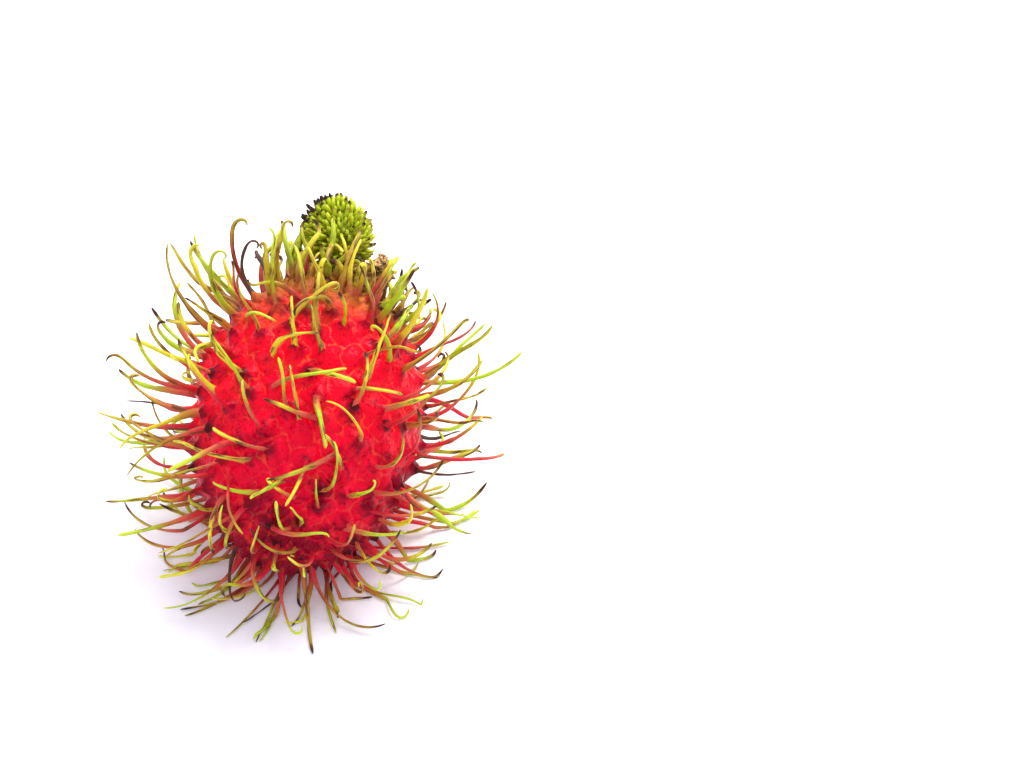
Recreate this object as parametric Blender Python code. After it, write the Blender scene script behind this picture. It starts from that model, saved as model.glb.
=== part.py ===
"""A whole rambutan as picked: a red rind covered with soft spinterns, lying on its side on a small flat
spot, with the woody stub of its stalk and the undeveloped fruitlet that shares that stalk.

Metres, +Z up. The origin is the middle of the flat spot, on the surface that the fruit rests on. The stalk
end points up and away, towards +Y. Directions "in the fruit's own axes" are: X to its side, Y to its
underside, Z along the rind towards the stalk.
"""

import math
import random

import bmesh
import bpy
from mathutils import Matrix, Vector, noise

MM = 0.001
GOLDEN_ANGLE = math.pi * (3 - math.sqrt(5))

# The rind, without its spinterns, and how it lies.
RIND_LENGTH = 44.0 * MM
RIND_WIDTH = 33.5 * MM
STALK_ELEVATION = math.radians(32)
STALK_TURN = math.radians(8)
FLAT_DEPTH = 0.8 * MM
EGG_SUBDIVISIONS = 3

# The spinterns. Each grows from the middle of its own cell of the rind.
SEED = 20
SPINTERN_CELLS = 325
CROWDED_ENDS = 0.26
ROOT_SCATTER = 0.05
ROOT_DEPTH = 0.7 * MM
BALD_SPOT_RADIUS = 6.0 * MM
BALD_CAP_RADIUS = 4.6 * MM
THICKET_CELLS = 34
THICKET_REACH = (4.7 * MM, 12.0 * MM)
THICKET_SHORTENING = 0.3
SPINTERN_LENGTH = 15.0 * MM
LENGTH_SPREAD = (0.75, 1.25)
STUNTED_CHANCE = 0.06
STUNTED_SHARE = 0.14
CROWN_RADIUS = 16.0 * MM
CROWN_SHORTENING = 0.6
SPINTERN_RADIUS_AT_TIP_END = 0.43 * MM
SPINTERN_RADIUS_AT_STALK_END = 0.60 * MM
RADIUS_SPREAD = (0.85, 1.15)
ROOT_FLARE = 0.85
ROOT_FLARE_SHARE = 0.12
TAPER = 0.52
BLUNT_TIP = 0.45
GROWTH_STEPS = 24

# How a spintern leans at its root, bends on the way and hooks at its tip.
LEAN_BACK = (-0.15, 0.3)
LEAN_ASIDE = 0.18
BEND = (math.radians(25), math.radians(105))
LAID_OVER_SIDE = (0.0, -0.77, 0.64)
LAID_OVER_LEAN = 0.5
LAID_OVER_BEND = 0.6
LAID_OVER_SCATTER = 1.0
LAID_OVER_SHORTENING = 0.25
BEND_PATCH = 9.0 * MM
BEND_TURN = 2.0
BEND_SCATTER = 0.6
SWAY = math.radians(18)
SWAY_WAVES = 7.0
HOOK_CHANCE = 0.42
HOOK = (math.radians(70), math.radians(190))
HOOK_SHARE = 0.22
KINK_CHANCE = 0.35
KINK = math.radians(22)

# The plain tubes that stand for the spinterns here.
STEPS_PER_RING = 8
SECTION_SIDES = 3
SECTION_WIDENING = 1.3
FLOOR_CLEARANCE = 1.4

# The stalk stub: a knob seated in a shallow pit of the rind, and the broken stick that leans out of it.
STALK_DIRECTION = (0.30, -0.10, 0.95)
KNOB_PLACE = (-0.5 * MM, 0.0, 2.2 * MM)
KNOB_SIZE = (7.4 * MM, 6.6 * MM, 6.6 * MM)
STICK_RADIUS = 2.5 * MM
STICK_LENGTH = 6.6 * MM
STICK_LEAN = (0.85, -0.08, 1.0)
STICK_TAPER = 0.82
STICK_SIDES = 16
JOINT_GAP = 0.35 * MM

# The undeveloped fruitlet, which sits in the knob beside the stick.
FRUITLET_PLACE = (-4.3 * MM, -0.2 * MM, 9.5 * MM)
FRUITLET_SIZE = (8.4 * MM, 8.4 * MM, 10.8 * MM)
FRUITLET_LEAN = (-0.60, 0.05, 1.0)
BRISTLE_LENGTH = 1.35 * MM
SMOOTH_FOOT = 0.55

COLOURS = {
    "rind": ((0.66, 0.012, 0.03, 1.0), 0.42),
    "stub": ((0.16, 0.09, 0.045, 1.0), 0.85),
    "fruitlet": ((0.27, 0.40, 0.03, 1.0), 0.6),
}


class Egg:
    """An ellipsoid with its centre, its own axes and its half sizes."""

    def __init__(self, centre, axes, size):
        self.centre = centre
        self.axes = axes
        self.semi = Vector(size) / 2

    def surface(self, direction):
        """(point, outward normal) on the egg, in a direction given in its own axes."""
        local = Vector(d * s for d, s in zip(direction, self.semi))
        normal = Vector(p / s**2 for p, s in zip(local, self.semi))
        return self.centre + self.axes @ local, (self.axes @ normal).normalized()

    def grown(self, extra):
        """The egg with its surface moved out by the extra."""
        return Egg(self.centre, self.axes, (self.semi + Vector((extra, extra, extra))) * 2)

    def cleared(self, point, clearance):
        """The point, moved out until it is clear of the egg."""
        semi = self.grown(clearance).semi
        local = self.axes.transposed() @ (point - self.centre)
        depth = Vector(p / s for p, s in zip(local, semi)).length
        return point if depth >= 1 else self.centre + self.axes @ (local / max(depth, 1e-6))

    def mesh(self, name):
        """The egg as a bmesh of its own and the mesh that it is written to."""
        bm = bmesh.new()
        bmesh.ops.create_icosphere(bm, subdivisions=EGG_SUBDIVISIONS, radius=1.0)
        for vertex in bm.verts:
            vertex.co, _ = self.surface(vertex.co.normalized())
        bm.normal_update()
        return bm, bpy.data.meshes.new(name)


def fruit_axes():
    """The turn that carries the fruit's own axes to how the fruit lies."""
    tip_back = Matrix.Rotation(STALK_ELEVATION - math.pi / 2, 3, "X")
    return Matrix.Rotation(-STALK_TURN, 3, "Z") @ tip_back


def rind_centre(axes):
    """Where the rind's middle lies, so that the flat spot is centred on the origin."""
    across, along = (RIND_WIDTH / 2) ** 2, (RIND_LENGTH / 2) ** 2
    stalkward = axes @ Vector((0, 0, 1))
    lowest = Vector((0, 0, across)) + (along - across) * stalkward.z * stalkward
    height = math.sqrt(lowest.z)
    return lowest / height * (1 - FLAT_DEPTH / height)


def leaning(direction):
    """The axes of a piece that stands along a direction given in the fruit's own axes."""
    return (AXES @ Vector(direction)).to_track_quat("Z", "Y").to_matrix()


AXES = fruit_axes()
STALKWARD = AXES @ Vector((0, 0, 1))
RIND = Egg(rind_centre(AXES), AXES, (RIND_WIDTH, RIND_WIDTH, RIND_LENGTH))
STALK_ROOT, _ = RIND.surface(Vector(STALK_DIRECTION).normalized())
KNOB = Egg(STALK_ROOT + AXES @ Vector(KNOB_PLACE), AXES, KNOB_SIZE)
STICK_AXES = leaning(STICK_LEAN)
STICK_MIDDLE = STALK_ROOT + STICK_AXES @ Vector((0, 0, STICK_LENGTH / 2))
STICK = Egg(STICK_MIDDLE, STICK_AXES, (2 * STICK_RADIUS, 2 * STICK_RADIUS, STICK_LENGTH + STICK_RADIUS))
FRUITLET = Egg(STALK_ROOT + AXES @ Vector(FRUITLET_PLACE), leaning(FRUITLET_LEAN), FRUITLET_SIZE)


def above_floor(point, radius):
    """The point of a spintern, raised until it is clear of the surface below."""
    return Vector((point.x, point.y, max(point.z, radius * FLOOR_CLEARANCE)))


def clear_of_all(point, radius, share):
    """The point of a spintern, moved clear of the other pieces, the rind and the surface below."""
    if share > 1.4 * ROOT_FLARE_SHARE:
        point = RIND.cleared(point, radius * (1 + share))
    point = FRUITLET.cleared(point, radius + BRISTLE_LENGTH + JOINT_GAP)
    point = STICK.cleared(point, radius + 2 * JOINT_GAP)
    point = KNOB.cleared(point, radius + 2 * JOINT_GAP)
    return above_floor(point, radius)


def thicket_direction(count):
    """The direction of a cell in the thicket round the stub."""
    nearest, furthest = THICKET_REACH
    reach = math.sqrt(nearest**2 + (furthest**2 - nearest**2) * (count + 0.5) / THICKET_CELLS)
    angle = count * GOLDEN_ANGLE
    offset = Vector((math.cos(angle), math.sin(angle), 0)) * reach / (RIND_WIDTH / 2)
    return (Vector(STALK_DIRECTION).normalized() + offset).normalized()


def cells():
    """(number, direction in the fruit's own axes) of each cell, laid out like seeds in a flower head."""
    scatter = random.Random(SEED)
    for index in range(SPINTERN_CELLS):
        height = 1 - (2 * index + 1) / SPINTERN_CELLS
        height *= 1 + CROWDED_ENDS * (1 - height**2)
        ring = math.sqrt(1 - height**2)
        angle = index * GOLDEN_ANGLE
        direction = Vector((ring * math.cos(angle), ring * math.sin(angle), height))
        direction += Vector(scatter.uniform(-1, 1) for _ in "xyz") * ROOT_SCATTER
        direction.normalize()
        yield index, direction
    for count in range(THICKET_CELLS):
        yield SPINTERN_CELLS + count, thicket_direction(count)


def bears_spintern(direction):
    """Whether a cell bears a spintern: not where the fruit rests, and not beside the stub."""
    point, _ = RIND.surface(direction)
    under_fruit = point.z < BALD_SPOT_RADIUS and point.xy.length < BALD_SPOT_RADIUS
    return not under_fruit and (point - STALK_ROOT).length > BALD_CAP_RADIUS


def half_width(share, radius):
    """A spintern's radius along its length: flared at its root, slim, and rounded off at its tip."""
    flare = ROOT_FLARE * math.exp(-share / ROOT_FLARE_SHARE)
    blunt = min(1.0, BLUNT_TIP + (1 - share) * GROWTH_STEPS / 2)
    return radius * (flare + 1 - TAPER * share) * blunt


def grown_spintern(index, direction):
    """The line of a spintern from root to tip, as (point, radius) at every growth step."""
    nature = random.Random(SEED * 1000 + index)
    root, normal = RIND.surface(direction)
    nearness = (direction.z + 1) / 2
    radius = SPINTERN_RADIUS_AT_TIP_END
    radius += (SPINTERN_RADIUS_AT_STALK_END - SPINTERN_RADIUS_AT_TIP_END) * nearness
    radius *= nature.uniform(*RADIUS_SPREAD)
    step = SPINTERN_LENGTH * nature.uniform(*LENGTH_SPREAD) / GROWTH_STEPS
    step *= STUNTED_SHARE if nature.random() < STUNTED_CHANCE else 1.0
    step *= 1 - THICKET_SHORTENING if index >= SPINTERN_CELLS else 1.0
    step *= 1 - CROWN_SHORTENING * max(0.0, 1 - (root - STALK_ROOT).length / CROWN_RADIUS)
    stalkward = (STALKWARD - normal * STALKWARD.dot(normal)).normalized()
    sideways = normal.cross(stalkward)
    laid_over = max(0.0, normal.dot(Vector(LAID_OVER_SIDE))) ** 2
    step *= 1 - LAID_OVER_SHORTENING * laid_over
    drift = noise.noise(root / BEND_PATCH) * BEND_TURN + nature.gauss(0, BEND_SCATTER)
    drift *= 1 + LAID_OVER_SCATTER * laid_over
    towards = math.cos(drift) * stalkward + math.sin(drift) * sideways
    lean = towards * (LAID_OVER_LEAN * laid_over - nature.uniform(*LEAN_BACK))
    lean += sideways * nature.gauss(0, LEAN_ASIDE)
    bend = nature.uniform(*BEND) * (1 + LAID_OVER_BEND * laid_over)
    hook = nature.uniform(*HOOK) if nature.random() < HOOK_CHANCE else 0.0
    hook *= nature.choice((1, 1, -1))
    sway = nature.uniform(-SWAY, SWAY)
    phase = nature.uniform(0, 2 * math.pi)
    kink = Matrix.Rotation(nature.gauss(0, KINK), 3, Vector(nature.gauss(0, 1) for _ in "xyz"))
    kink_step = nature.randint(GROWTH_STEPS // 3, GROWTH_STEPS) if nature.random() < KINK_CHANCE else 0
    heading = (normal + lean).normalized()
    turning = normal.cross(towards).normalized()
    point = root
    line = [(above_floor(root - heading * ROOT_DEPTH, half_width(0, radius)), half_width(0, radius))]
    for count in range(1, GROWTH_STEPS + 1):
        share = count / GROWTH_STEPS
        curl = bend * (0.5 + share)
        curl += hook * 2 * max(0.0, share + HOOK_SHARE - 1) / HOOK_SHARE**2
        aside = sway * math.cos(phase + SWAY_WAVES * share) * SWAY_WAVES
        heading = Matrix.Rotation(curl / GROWTH_STEPS, 3, turning) @ heading
        heading = Matrix.Rotation(aside / GROWTH_STEPS, 3, towards) @ heading
        heading = kink @ heading if count == kink_step else heading
        here = half_width(share, radius)
        moved = clear_of_all(point + heading * step, here, share)
        heading = (moved - point).normalized()
        point = clear_of_all(point + heading * step, here, share)
        line.append((point, here))
    return line


def finished(name, mesh, colour, parts):
    """A part's object, with its material and smooth shading, in the collection of parts."""
    base, roughness = COLOURS[colour]
    material = bpy.data.materials.new(colour)
    material.use_nodes = True
    shader = material.node_tree.nodes["Principled BSDF"]
    shader.inputs["Base Color"].default_value = base
    shader.inputs["Roughness"].default_value = roughness
    material.diffuse_color = base
    mesh.materials.append(material)
    mesh.shade_smooth()
    mesh.set_sharp_from_angle(angle=math.radians(40))
    made = bpy.data.objects.new(name, mesh)
    parts.objects.link(made)
    return made


def helper(name, mesh, helpers):
    """A hidden object that a Boolean uses."""
    made = bpy.data.objects.new(name, mesh)
    made.hide_render = True
    made.display_type = "WIRE"
    helpers.objects.link(made)
    return made


def written(bm, mesh):
    """The mesh, filled from the bmesh with its faces turned outwards."""
    bmesh.ops.recalc_face_normals(bm, faces=bm.faces[:])
    bm.to_mesh(mesh)
    bm.free()
    return mesh


def rind_mesh():
    """The rind alone: an egg, cut flat where it rests."""
    bm, mesh = RIND.mesh("fruit")
    everything = bm.verts[:] + bm.edges[:] + bm.faces[:]
    cut = bmesh.ops.bisect_plane(bm, geom=everything, plane_no=(0, 0, -1), clear_outer=True)
    rim = [item for item in cut["geom_cut"] if isinstance(item, bmesh.types.BMEdge)]
    bmesh.ops.contextual_create(bm, geom=rim)
    return written(bm, mesh)


def spintern_section():
    """The spinterns' three-sided section, about as wide as a round one of radius 1."""
    outline = bpy.data.curves.new("spintern_section", "CURVE")
    spline = outline.splines.new("POLY")
    spline.points.add(SECTION_SIDES - 1)
    for count, control in enumerate(spline.points):
        angle = 2 * math.pi * count / SECTION_SIDES
        control.co = (SECTION_WIDENING * math.cos(angle), SECTION_WIDENING * math.sin(angle), 0, 1)
    spline.use_cyclic_u = True
    return bpy.data.objects.new("spintern_section", outline)


def spinterns_mesh():
    """Every spintern as a tapered tube that ends in a point, in one mesh."""
    curve = bpy.data.curves.new("spinterns", "CURVE")
    curve.dimensions = "3D"
    curve.bevel_mode = "OBJECT"
    curve.bevel_object = spintern_section()
    curve.use_fill_caps = True
    bearing = [(index, direction) for index, direction in cells() if bears_spintern(direction)]
    for index, direction in bearing:
        rings = grown_spintern(index, direction)[::STEPS_PER_RING]
        spline = curve.splines.new("POLY")
        spline.points.add(len(rings) - 1)
        for control, (point, radius) in zip(spline.points, rings):
            control.co = (*point, 1)
            control.radius = radius
        spline.points[-1].radius = 0
    tubes = bpy.data.objects.new("spinterns", curve)
    bpy.context.scene.collection.objects.link(tubes)
    graph = bpy.context.evaluated_depsgraph_get()
    mesh = bpy.data.meshes.new_from_object(tubes.evaluated_get(graph))
    bpy.data.objects.remove(curve.bevel_object)
    bpy.data.objects.remove(tubes)
    bm = bmesh.new()
    bm.from_mesh(mesh)
    bmesh.ops.remove_doubles(bm, verts=bm.verts[:], dist=1e-6)
    bmesh.ops.dissolve_degenerate(bm, edges=bm.edges[:], dist=1e-7)
    return written(bm, mesh)


def stick_mesh(name, grow):
    """The stick of the stub: ridged and tapering, with an uneven broken end. Grown, it is a plain cone."""
    bm = bmesh.new()
    radius = STICK_RADIUS + grow
    shape = bmesh.ops.create_cone(
        bm,
        cap_ends=True,
        segments=STICK_SIDES,
        radius1=radius,
        radius2=radius * STICK_TAPER,
        depth=STICK_LENGTH + 2 * grow,
    )
    for vertex in shape["verts"]:
        around = math.atan2(vertex.co.y, vertex.co.x)
        ridge = 0.0 if grow else 0.09 * math.sin(5 * around)
        vertex.co.xy *= 1 + ridge
        if vertex.co.z > 0 and not grow:
            vertex.co.z += 0.6 * MM * math.sin(around + 1)
    place = Matrix.Translation(STICK_MIDDLE) @ STICK_AXES.to_4x4()
    bmesh.ops.transform(bm, matrix=place, verts=bm.verts[:])
    return written(bm, bpy.data.meshes.new(name))


def knob_mesh(name, grow):
    """The knob of the stub, which the rind's pit holds."""
    return written(*KNOB.grown(grow).mesh(name))


def fruitlet_mesh():
    """The fruitlet: a small egg whose faces are drawn out into bristles, except at its foot."""
    bm, mesh = FRUITLET.mesh("undeveloped_fruitlet")
    upwards = FRUITLET.axes @ Vector((0, 0, 1))
    foot = -SMOOTH_FOOT * FRUITLET.semi.z
    bristly = [f for f in bm.faces if (f.calc_center_median() - FRUITLET.centre).dot(upwards) > foot]
    bmesh.ops.poke(bm, faces=bristly, offset=BRISTLE_LENGTH, center_mode="MEAN")
    return written(bm, mesh)


def boolean(target, other, operation, self_crossing=False):
    """A Boolean on the target. self_crossing is for an operand whose own tubes may cross."""
    modifier = target.modifiers.new(f"{operation.lower()}_{other.name}", "BOOLEAN")
    modifier.operation = operation
    modifier.object = other
    modifier.use_self = self_crossing


def main():
    for old in list(bpy.data.objects):
        bpy.data.objects.remove(old)
    parts = bpy.data.collections.new("rambutan")
    helpers = bpy.data.collections.new("helpers")
    bpy.context.scene.collection.children.link(parts)
    bpy.context.scene.collection.children.link(helpers)

    fruit = finished("fruit", rind_mesh(), "rind", parts)
    stub = finished("stalk_stub", knob_mesh("stalk_stub", 0.0), "stub", parts)
    finished("undeveloped_fruitlet", fruitlet_mesh(), "fruitlet", parts)

    boolean(fruit, helper("spinterns", spinterns_mesh(), helpers), "UNION", self_crossing=True)
    boolean(fruit, helper("knob_pit", knob_mesh("knob_pit", JOINT_GAP), helpers), "DIFFERENCE")
    boolean(fruit, helper("stick_pit", stick_mesh("stick_pit", JOINT_GAP), helpers), "DIFFERENCE")

    boolean(stub, helper("stick", stick_mesh("stick", 0.0), helpers), "UNION")
    socket = written(*FRUITLET.grown(JOINT_GAP).mesh("fruitlet_socket"))
    boolean(stub, helper("fruitlet_socket", socket, helpers), "DIFFERENCE")


main()
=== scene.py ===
"""The finished look of a whole rambutan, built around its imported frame.

The rind, the spinterns and the fruitlet grow by the same rules and sizes as the solids in the frame, with
finer surfaces. Metres, +Z up. Directions "in the fruit's own axes" are: X to its side, Y to its underside,
Z along the rind towards the stalk.
"""

import math
import random

import bmesh
import bpy
from bpy.props import FloatProperty, FloatVectorProperty, IntProperty, PointerProperty
from mathutils import Matrix, Vector, kdtree, noise


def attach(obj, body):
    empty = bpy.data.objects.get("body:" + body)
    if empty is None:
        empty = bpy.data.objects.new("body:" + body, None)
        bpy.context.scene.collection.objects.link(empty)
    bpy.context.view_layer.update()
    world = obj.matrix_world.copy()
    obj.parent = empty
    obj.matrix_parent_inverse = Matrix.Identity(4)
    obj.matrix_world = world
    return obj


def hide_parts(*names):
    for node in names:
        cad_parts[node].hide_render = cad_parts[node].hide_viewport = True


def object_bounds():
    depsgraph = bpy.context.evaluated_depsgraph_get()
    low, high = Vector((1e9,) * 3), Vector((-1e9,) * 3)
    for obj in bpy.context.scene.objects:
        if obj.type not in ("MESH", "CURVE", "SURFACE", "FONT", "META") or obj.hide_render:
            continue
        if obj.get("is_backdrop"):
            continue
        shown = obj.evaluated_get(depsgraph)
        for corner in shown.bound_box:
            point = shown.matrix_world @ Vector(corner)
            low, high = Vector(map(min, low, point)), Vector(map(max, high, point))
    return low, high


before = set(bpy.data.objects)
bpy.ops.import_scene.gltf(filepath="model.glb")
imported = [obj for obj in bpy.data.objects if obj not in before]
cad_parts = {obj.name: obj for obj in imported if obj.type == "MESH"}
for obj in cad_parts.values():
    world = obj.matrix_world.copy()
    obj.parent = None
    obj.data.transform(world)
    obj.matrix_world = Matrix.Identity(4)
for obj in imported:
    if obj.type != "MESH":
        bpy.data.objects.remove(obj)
CAD_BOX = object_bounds()

bl_info = {
    "name": "Rambutan",
    "version": (1, 0, 0),
    "blender": (4, 5, 0),
    "location": "View3D > Sidebar > Rambutan",
    "description": "Builds a whole rambutan with its spinterns, stalk stub and undeveloped fruitlet",
    "category": "Add Mesh",
}

MM = 0.001
GOLDEN_ANGLE = math.pi * (3 - math.sqrt(5))

# The rind, without its spinterns, and how it lies.
RIND_LENGTH = 44.0 * MM
RIND_WIDTH = 33.5 * MM
STALK_ELEVATION = math.radians(32)
STALK_TURN = math.radians(8)
FLAT_DEPTH = 0.8 * MM

# The spinterns. Each grows from the middle of its own cell of the rind.
SEED = 20
SPINTERN_CELLS = 325
CROWDED_ENDS = 0.26
ROOT_SCATTER = 0.05
ROOT_DEPTH = 0.7 * MM
BALD_SPOT_RADIUS = 6.0 * MM
BALD_CAP_RADIUS = 4.6 * MM
THICKET_CELLS = 34
THICKET_REACH = (4.7 * MM, 12.0 * MM)
THICKET_SHORTENING = 0.3
SPINTERN_LENGTH = 15.0 * MM
LENGTH_SPREAD = (0.75, 1.25)
STUNTED_CHANCE = 0.06
STUNTED_SHARE = 0.14
CROWN_RADIUS = 16.0 * MM
CROWN_SHORTENING = 0.6
SPINTERN_RADIUS_AT_TIP_END = 0.43 * MM
SPINTERN_RADIUS_AT_STALK_END = 0.60 * MM
RADIUS_SPREAD = (0.85, 1.15)
ROOT_FLARE = 0.85
ROOT_FLARE_SHARE = 0.12
FREE_FROM_SHARE = 1.4 * ROOT_FLARE_SHARE
TAPER = 0.52
BLUNT_TIP = 0.45
GROWTH_STEPS = 24

# How a spintern leans at its root, bends on the way and hooks at its tip.
LEAN_BACK = (-0.15, 0.3)
LEAN_ASIDE = 0.18
BEND = (math.radians(25), math.radians(105))
BEND_PATCH = 9.0 * MM
BEND_TURN = 2.0
BEND_SCATTER = 0.6
SWAY = math.radians(18)
SWAY_WAVES = 7.0
HOOK_CHANCE = 0.42
HOOK = (math.radians(70), math.radians(190))
HOOK_SHARE = 0.22
KINK_CHANCE = 0.35
KINK = math.radians(22)
FLOOR_CLEARANCE = 1.4

# On this side of the fruit the spinterns lie over along the rind: they lean and bend more, and are shorter.
LAID_OVER_SIDE = (0.0, -0.77, 0.64)
LAID_OVER_LEAN = 0.5
LAID_OVER_BEND = 0.6
LAID_OVER_SCATTER = 1.0
LAID_OVER_SHORTENING = 0.25

# The stalk stub: a knob seated in a shallow pit of the rind, and the broken stick that leans out of it.
STALK_DIRECTION = (0.30, -0.10, 0.95)
KNOB_PLACE = (-0.5 * MM, 0.0, 2.2 * MM)
KNOB_SIZE = (7.4 * MM, 6.6 * MM, 6.6 * MM)
STICK_RADIUS = 2.5 * MM
STICK_LENGTH = 6.6 * MM
STICK_LEAN = (0.85, -0.08, 1.0)
JOINT_GAP = 0.35 * MM

# The undeveloped fruitlet, which sits in the knob beside the stick.
FRUITLET_PLACE = (-4.3 * MM, -0.2 * MM, 9.5 * MM)
FRUITLET_SIZE = (8.4 * MM, 8.4 * MM, 10.8 * MM)
FRUITLET_LEAN = (-0.60, 0.05, 1.0)
BRISTLE_LENGTH = 1.35 * MM
PAPILLAE_TO = 0.88
PAPILLA_KNEE = 0.6
PAPILLA_BEND = 0.28
PAPILLA_TAPER = 0.10
PAPILLA_BLUNTNESS = 0.42
PAPILLA_PULL = 0.12
PAPILLA_STRAY = 0.22
PAPILLA_SIZES = (0.75, 1.3)
MOST_PAPILLAE_PER_M2 = 2e7
BODY_LUMP_SIZE = 1.5 * MM
BODY_LUMP_HEIGHT = 0.12 * MM
DRY_END = (-0.75, -0.1, 0.75)
WORN_SIDE = (0.85, 0.1, -0.6)

# The rind's surface. The cone at a root points to where its spintern is after HEADING_STEP steps.
SEAM_WANDER_SIZE = 1.5 * MM
DOME_EDGE = 1.5 * MM
FLARE_FALL = 1.1
HEADING_STEP = 3
RIND_LUMP_SIZE = 3.0 * MM
PIT_DEPTH = 1.3 * MM
PIT_RADIUS = 3.9 * MM
SPOTTED_SHARE = 0.42
SPOTTED_EDGE = 0.3
BLOTCH_EDGE = 0.08
GRAIN_INPUTS = (("Coarse size", 0.8 * MM), ("Fine size", 0.2 * MM), ("Fine share", 0.3))

# The spinterns' traits. GREEN_FROM, LATE_GREEN, DRY_FROM and NEVER_DRY are shares of a spintern's length.
# Pairs of chances are the chance at the tip end and how much it grows by the stalk end.
CROWN_FROM = 0.75
BROADER_IN_CROWN = 0.45
KNOBS = 9.0
SHRUNK_WHEN_DRIED = 0.30
GREEN_FROM = 0.62
GREEN_SOONER_AT_STALK = 0.38
GREEN_SOONER_LAID_OVER = 0.17
GREEN_SCATTER = 0.14
LATE_CHANCE = (0.06, 0.24)
LATE_GREEN = 0.40
DRY_FROM = (0.82, 0.97)
NEVER_DRY = 2.0
DARK_ROOT_CHANCE = (0.3, 0.3)

# The bark of the stub and its broken face.
SAME_PLACE = 0.001 * MM
FIBRE_STRETCH = 0.6
TORN_SIZE = 1.6 * MM
TORN_DEPTH = 1.0 * MM
BROKEN_DEPTH = 1.5 * MM
BROKEN_EDGE = 0.8 * MM
STUB_LUMP_SIZE = 2.3 * MM
SPLINTER_SIZE = 0.6 * MM
SPLINTER_HEIGHT = 0.5 * MM
CRUMB_SIZE = 0.45 * MM
BARK_SINK = 0.15 * MM
# The share of the bark's colour left in its clefts, as painted shade.
CLEFT_SHADE = 0.22

# The stage.
FLOOR_SIZE = 6.0
KEY_PLACE = (0.14, 0.25, 0.45)
KEY_SIZE = 0.36
FILL_PLACE = (-0.15, -0.45, 0.32)
FILL_SIZE = 0.5
SENSOR_WIDTH = 36.0


class Egg:
    """An ellipsoid with its centre, its own axes and its half sizes."""

    def __init__(self, centre, axes, size):
        self.centre = centre
        self.axes = axes
        self.semi = Vector(size) / 2

    def surface(self, direction):
        """(point, outward normal) on the egg, in a direction given in its own axes."""
        local = Vector(d * s for d, s in zip(direction, self.semi))
        normal = Vector(p / s**2 for p, s in zip(local, self.semi))
        return self.centre + self.axes @ local, (self.axes @ normal).normalized()

    def grown(self, extra):
        """The egg with its surface moved out by the extra."""
        return Egg(self.centre, self.axes, (self.semi + Vector((extra, extra, extra))) * 2)

    def cleared(self, point, clearance):
        """The point, moved out until it is clear of the egg."""
        semi = self.grown(clearance).semi
        local = self.axes.transposed() @ (point - self.centre)
        depth = Vector(p / s for p, s in zip(local, semi)).length
        return point if depth >= 1 else self.centre + self.axes @ (local / max(depth, 1e-6))


def fruit_axes():
    """The turn that carries the fruit's own axes to how the fruit lies."""
    tip_back = Matrix.Rotation(STALK_ELEVATION - math.pi / 2, 3, "X")
    return Matrix.Rotation(-STALK_TURN, 3, "Z") @ tip_back


def rind_centre(axes):
    """Where the rind's middle lies, so that the flat spot is centred on the origin."""
    across, along = (RIND_WIDTH / 2) ** 2, (RIND_LENGTH / 2) ** 2
    stalkward = axes @ Vector((0, 0, 1))
    lowest = Vector((0, 0, across)) + (along - across) * stalkward.z * stalkward
    height = math.sqrt(lowest.z)
    return lowest / height * (1 - FLAT_DEPTH / height)


def leaning(direction):
    """The axes of a piece that stands along a direction given in the fruit's own axes."""
    return (AXES @ Vector(direction)).to_track_quat("Z", "Y").to_matrix()


AXES = fruit_axes()
STALKWARD = AXES @ Vector((0, 0, 1))
RIND = Egg(rind_centre(AXES), AXES, (RIND_WIDTH, RIND_WIDTH, RIND_LENGTH))
STALK_ROOT = RIND.surface(Vector(STALK_DIRECTION).normalized())[0]
KNOB = Egg(STALK_ROOT + AXES @ Vector(KNOB_PLACE), AXES, KNOB_SIZE)
STICK_AXES = leaning(STICK_LEAN)
STICK_MIDDLE = STALK_ROOT + STICK_AXES @ Vector((0, 0, STICK_LENGTH / 2))
STICK = Egg(STICK_MIDDLE, STICK_AXES, (2 * STICK_RADIUS, 2 * STICK_RADIUS, STICK_LENGTH + STICK_RADIUS))
FRUITLET = Egg(STALK_ROOT + AXES @ Vector(FRUITLET_PLACE), leaning(FRUITLET_LEAN), FRUITLET_SIZE)


def above_floor(point, radius):
    """The point of a spintern, raised until it is clear of the surface below."""
    return Vector((point.x, point.y, max(point.z, radius * FLOOR_CLEARANCE)))


def clear_of_all(point, radius, share):
    """The point of a spintern, moved clear of the other pieces, the rind and the surface below."""
    if share > FREE_FROM_SHARE:
        point = RIND.cleared(point, radius * (1 + share))
    point = FRUITLET.cleared(point, radius + BRISTLE_LENGTH + JOINT_GAP)
    point = STICK.cleared(point, radius + 2 * JOINT_GAP)
    point = KNOB.cleared(point, radius + 2 * JOINT_GAP)
    return above_floor(point, radius)


def thicket_direction(count):
    """The direction of a cell in the thicket round the stub."""
    nearest, furthest = THICKET_REACH
    reach = math.sqrt(nearest**2 + (furthest**2 - nearest**2) * (count + 0.5) / THICKET_CELLS)
    angle = count * GOLDEN_ANGLE
    offset = Vector((math.cos(angle), math.sin(angle), 0)) * reach / (RIND_WIDTH / 2)
    return (Vector(STALK_DIRECTION).normalized() + offset).normalized()


def cells():
    """(number, direction in the fruit's own axes) of each cell, laid out like seeds in a flower head."""
    scatter = random.Random(SEED)
    for index in range(SPINTERN_CELLS):
        height = 1 - (2 * index + 1) / SPINTERN_CELLS
        height *= 1 + CROWDED_ENDS * (1 - height**2)
        ring = math.sqrt(1 - height**2)
        angle = index * GOLDEN_ANGLE
        direction = Vector((ring * math.cos(angle), ring * math.sin(angle), height))
        direction += Vector(scatter.uniform(-1, 1) for _ in "xyz") * ROOT_SCATTER
        direction.normalize()
        yield index, direction
    for count in range(THICKET_CELLS):
        yield SPINTERN_CELLS + count, thicket_direction(count)


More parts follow.
